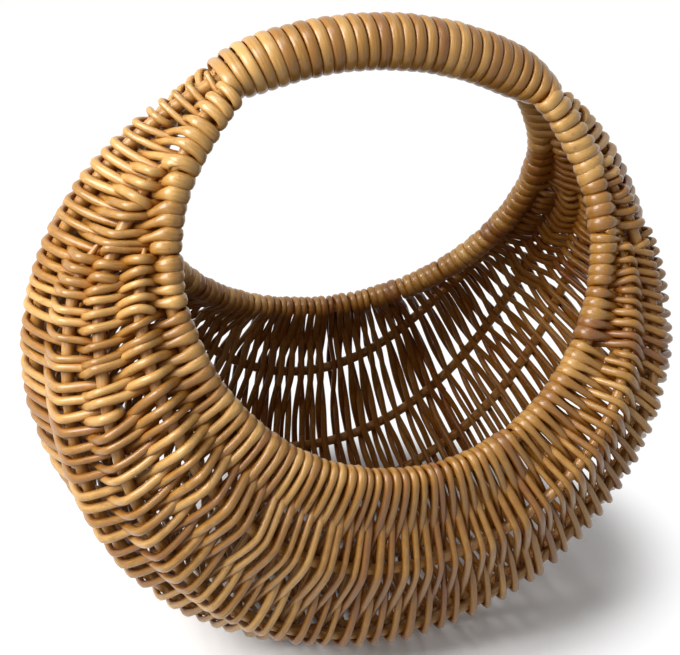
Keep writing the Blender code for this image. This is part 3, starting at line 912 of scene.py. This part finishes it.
    def extend(self, points, outward, wall_out, turned, high):
        self.points.extend(points)
        self.outward.extend(outward)
        self.wall_out.extend(wall_out)
        self.turned.extend(turned)
        self.sides.extend(high)

    def rods(self):
        """The path cut into willow rods of natural length, each with its own tone, taper and tucked ends."""
        run = run_along(self.points)
        # The weavers that the basket stands on lie no lower than its foot.
        floor = self.sizes.radius
        self.points[:, 2] = floor + self.wall.eased(self.points[:, 2] - floor, self.foot_ease)
        rods = []
        first = 0
        while first < len(run) - 1:
            goal = run[first] + self.random.uniform(*self.rod_lengths)
            later = [place for place, sign in self.crossings if sign < 0 and run[place] >= goal]
            room = run[-1] - run[later[0]] if later else 0
            last = later[0] if room > self.shortest_rod else len(run) - 1
            rods.append(self.rod(first, last, run))
            first = last
        return rods

    def rod(self, first, last, run):
        sizes = self.sizes
        low = max(0, first - self.overlap)
        high = min(len(run) - 1, last + self.overlap)
        span = slice(low, high + 1)
        points = self.points[span].copy()
        along = run[span] - run[low]
        share_along = along / along[-1]
        if self.random.random() < 0.5:
            share_along = 1 - share_along
        thick = 1 + sizes.taper * (1 - 2 * share_along)
        thick = thick * float(np.clip(self.random.normal(1, sizes.unevenness), *self.thickness_limits))
        pace, start = self.random.uniform(*self.swell_paces), self.random.uniform(*self.swell_starts)
        thick = thick * (1 + self.swell * np.sin(pace * along + start))
        turned = self.turned[span]
        side = self.sides[span]
        half = sizes.radius * thick * (1 + sizes.shoulder_growth * side**2)
        wide = half * (1 + turned * (sizes.turn_flare + sizes.shoulder_flare * side))
        thin = half * (1 - turned * sizes.turn_squash)
        # A rod's tucked end slips in behind its neighbour.
        fade = np.clip(1 - along / self.tuck, 0, 1) ** 2
        wide = wide * (1 - self.tuck_share * fade)
        thin = thin * (1 - self.tuck_share * fade)
        points -= self.tuck_depth * fade[:, None] * self.wall_out[span]
        tone = float(np.clip(self.random.normal(MIDDLE_TONE, self.tones), *TONE_LIMITS))
        strand = Strand(points, self.outward[span], wide, thin, tone, wall_out=self.wall_out[span])
        strand.share = (first + last) / 2 / len(run)
        return strand


class BASKET_OT_weavers(bpy.types.Operator):
    """Weave the wall, rod by rod, and turn each weaver round the rims"""

    bl_idname = "basket.weavers"
    bl_label = "Weavers"

    def execute(self, context):
        wall = Wall(context.scene)
        material = varnished_willow(context.scene.basket_look, "weaver")
        rods = Weave(context.scene, wall).rods()
        floor = 0.0
        for name, ceiling, nodes in WEAVER_PIECES:
            here = [rod for rod in rods if floor <= rod.share < ceiling]
            swept_piece(name, here, SIDES["weaver"], material, nodes)
            floor = ceiling
        return {"FINISHED"}


def filler_radius(sizes, theta, reach):
    """Half the thickness of a filler rod in the direction theta, pointed at both ends."""
    room = (math.pi - sizes.start_angle - np.abs(theta - math.pi)) * reach / sizes.filler_taper
    grown = np.clip(room, 0, 1)
    return sizes.filler_tip + (sizes.filler_radius - sizes.filler_tip) * (grown * (2 - grown))


class BASKET_OT_fillers(bpy.types.Operator):
    """Make the two pointed rods that fill the handle's bundle out"""

    bl_idname = "basket.fillers"
    bl_label = "Handle Fillers"

    def execute(self, context):
        wall = Wall(context.scene)
        sizes = context.scene.basket_winding
        material = varnished_willow(context.scene.basket_look, "hoop")
        theta = np.linspace(sizes.start_angle, 2 * math.pi - sizes.start_angle, FILLER_POINTS)
        reach = wall.keel_reach(theta)
        radius = filler_radius(sizes, theta, reach)
        beside_keel = wall.hoop.rod_radius + wall.hoop.rod_gap + radius
        for name, side in (("outer", 1), ("inner", -1)):
            points = wall.place(theta, reach + side * beside_keel, 0 * theta)
            rod = Strand(points, points - np.array([0, 0, wall.middle_height]), radius, radius, MIDDLE_TONE)
            node = f"handle_filler_{name}"
            swept_piece(f"{name}_filler_rod", [rod], SIDES["filler"], material, [node])
        return {"FINISHED"}


class BASKET_OT_winding(bpy.types.Operator):
    """Wind the strip round the handle's bundle of rods"""

    bl_idname = "basket.winding"
    bl_label = "Handle Winding"

    def execute(self, context):
        wall = Wall(context.scene)
        sizes = context.scene.basket_winding
        material = varnished_willow(context.scene.basket_look, "skein")
        random = np.random.default_rng(WINDING_SEED)
        turns = np.arange(sizes.turns * POINTS_PER_TURN + 1) / POINTS_PER_TURN

        def along_turns(values):
            """One value for each turn as one for each point, with an easy change between turns."""
            return smoothed(np.repeat(values, POINTS_PER_TURN)[: len(turns)], WINDING_EVENING)

        start = sizes.start_angle
        theta = start + turns / sizes.turns * 2 * (math.pi - start)
        phase = 2 * math.pi * turns
        folded = np.where(theta > math.pi, 2 * math.pi - theta, theta)
        reach = wall.keel_reach(theta)
        tall = wall.hoop.rod_radius + wall.hoop.rod_gap + 2 * filler_radius(sizes, theta, reach)
        wide = wall.rim_place(folded)[1] + wall.hoop.rod_radius
        uneven = along_turns(random.random(sizes.turns + 1))
        lift = sizes.clearance + sizes.half_thickness + WINDING_LIFT * uneven
        points = wall.place(theta, reach - (tall + lift) * np.cos(phase), (wide + lift) * np.sin(phase))
        core = wall.place(theta, reach, 0 * theta)
        tones = np.clip(random.normal(MIDDLE_TONE, WINDING_TONES, sizes.turns + 1), *TONE_LIMITS)
        half = sizes.half_width * (1 + WINDING_SWELL * np.sin(WINDING_SWELLS * turns))
        strand = Strand(points, points - core, half, sizes.half_thickness, along_turns(tones))
        nodes = ("handle_wrap_right", "handle_wrap_left")
        swept_piece("handle_winding", [strand], SIDES["skein"], material, nodes)
        return {"FINISHED"}


def area_light(name, azimuth, elevation, distance, size, energy):
    light = bpy.data.lights.new(name, "AREA")
    light.shape = "DISK"
    light.size = size
    light.energy = energy
    lamp = bpy.data.objects.new(name, light)
    bpy.context.scene.collection.objects.link(lamp)
    way = way_to(azimuth, elevation)
    lamp.location = LAMP_TARGET + distance * way
    lamp.rotation_euler = way.to_track_quat("Z", "Y").to_euler()


class BASKET_OT_stage(bpy.types.Operator):
    """Make the floor, the light and the camera"""

    bl_idname = "basket.stage"
    bl_label = "Stage"

    def execute(self, context):
        scene = context.scene
        self.camera(scene)
        self.light(scene)
        self.floor(scene)
        return {"FINISHED"}

    def camera(self, scene):
        back = way_to(VIEW_AZIMUTH, VIEW_ELEVATION)
        azimuth, roll = math.radians(VIEW_AZIMUTH), math.radians(VIEW_ROLL)
        right = Vector((math.cos(azimuth), math.sin(azimuth), 0))
        up = back.cross(right)
        tilted_right = right * math.cos(roll) + up * math.sin(roll)
        tilted_up = up * math.cos(roll) - right * math.sin(roll)
        place = Vector((0, 0, VIEW_HEIGHT)) + VIEW_DISTANCE * back
        data = bpy.data.cameras.new("photo_view")
        data.sensor_width = 36.0
        data.lens = FOCAL_LENGTH / IMAGE_WIDTH * data.sensor_width
        data.shift_x = SHIFT_X / IMAGE_WIDTH
        data.shift_y = SHIFT_Y / IMAGE_WIDTH
        data.clip_start = 0.05
        camera = bpy.data.objects.new("photo_view", data)
        scene.collection.objects.link(camera)
        axes = (tilted_right, tilted_up, back, place)
        camera.matrix_world = Matrix([[axis[row] for axis in axes] for row in range(3)] + [[0, 0, 0, 1]])
        scene.camera = camera

    def light(self, scene):
        for name, lamp in LAMPS.items():
            area_light(name, *lamp)
        world = bpy.data.worlds.new("pale_room")
        scene.world = world
        world.use_nodes = True
        tree = world.node_tree
        tree.nodes.clear()
        seen = background_rays(tree)
        strength = add_node(tree, MAP_RANGE, {"Value": seen, "To Min": ROOM_LIGHT, "To Max": 1.0}, "Result")
        sky = add_node(tree, "ShaderNodeBackground", {"Color": (1, 1, 1, 1), "Strength": strength}, 0)
        tree.links.new(sky, add_node(tree, "ShaderNodeOutputWorld").inputs[0])
        scene.view_settings.view_transform = "Standard"

    def floor(self, scene):
        mesh = bpy.data.meshes.new("pale_floor")
        corners = [(x * FLOOR_HALF, y * FLOOR_HALF, 0) for x, y in ((-1, -1), (1, -1), (1, 1), (-1, 1))]
        mesh.from_pydata(corners, [], [(0, 1, 2, 3)])
        floor = bpy.data.objects.new("pale_floor", mesh)
        scene.collection.objects.link(floor)
        mesh.materials.append(self.paper())

    def paper(self):
        """Matt white paper: it takes the basket's soft shadow, and has no shine of its own."""
        material = bpy.data.materials.new("Pale matt paper")
        material.use_nodes = True
        tree = material.node_tree
        tree.nodes.clear()
        node = functools.partial(add_node, tree)
        seen = background_rays(tree)
        # Seen by itself the paper is white where light falls on it; the light that it sends back is less.
        tint = node(MAP_RANGE, {"Value": seen, "To Min": PAPER_LIGHT, "To Max": 1.0}, "Result")
        lit = node("ShaderNodeBsdfDiffuse", {"Color": tint}, 0)
        white = node("ShaderNodeEmission", {"Color": (1, 1, 1, 1), "Strength": BACKDROP_STRENGTH}, 0)
        # Away from the basket it is plain white, as a backdrop out of the lamps' reach is.
        place = node("ShaderNodeTexCoord", give="Object")
        place = node(VECTOR_MATH, {0: place, 1: SHADOW_SQUEEZE}, "Vector", operation="MULTIPLY")
        far = node(VECTOR_MATH, {0: place}, "Value", operation="LENGTH")
        fade = {"Value": far, "From Min": SHADOW_NEAR, "From Max": SHADOW_FAR, "To Max": BACKDROP_SHARE}
        far = node(MAP_RANGE, fade, "Result", interpolation_type="SMOOTHSTEP")
        amount = node(MATHS, {0: seen, 1: far}, "Value", operation="MULTIPLY")
        mix = node("ShaderNodeMixShader", {0: amount, 1: lit, 2: white}, 0)
        tree.links.new(mix, node("ShaderNodeOutputMaterial").inputs["Surface"])
        return material


class BASKET_PT_panel(bpy.types.Panel):
    """Lists the steps that make the basket"""

    bl_label = "Willow Basket"
    bl_idname = "BASKET_PT_panel"
    bl_space_type = "VIEW_3D"
    bl_region_type = "UI"
    bl_category = "Basket"

    def draw(self, context):
        for step in STEPS:
            self.layout.operator("basket." + step)


GROUPS = {
    "basket_hoops": HoopSizes,
    "basket_wall": WallSizes,
    "basket_ribs": RibSizes,
    "basket_weavers": WeaverSizes,
    "basket_winding": WindingSizes,
    "basket_look": WillowLook,
}
CLASSES = (
    *GROUPS.values(),
    BASKET_OT_hoops,
    BASKET_OT_ribs,
    BASKET_OT_weavers,
    BASKET_OT_fillers,
    BASKET_OT_winding,
    BASKET_OT_stage,
    BASKET_PT_panel,
)


def register():
    for cls in CLASSES:
        bpy.utils.register_class(cls)
    for name, group in GROUPS.items():
        setattr(bpy.types.Scene, name, bpy.props.PointerProperty(type=group))


def unregister():
    for name in GROUPS:
        delattr(bpy.types.Scene, name)
    for cls in reversed(CLASSES):
        bpy.utils.unregister_class(cls)


def main():
    register()
    for step in STEPS:
        getattr(bpy.ops.basket, step)()


if __name__ == "__main__":
    main()
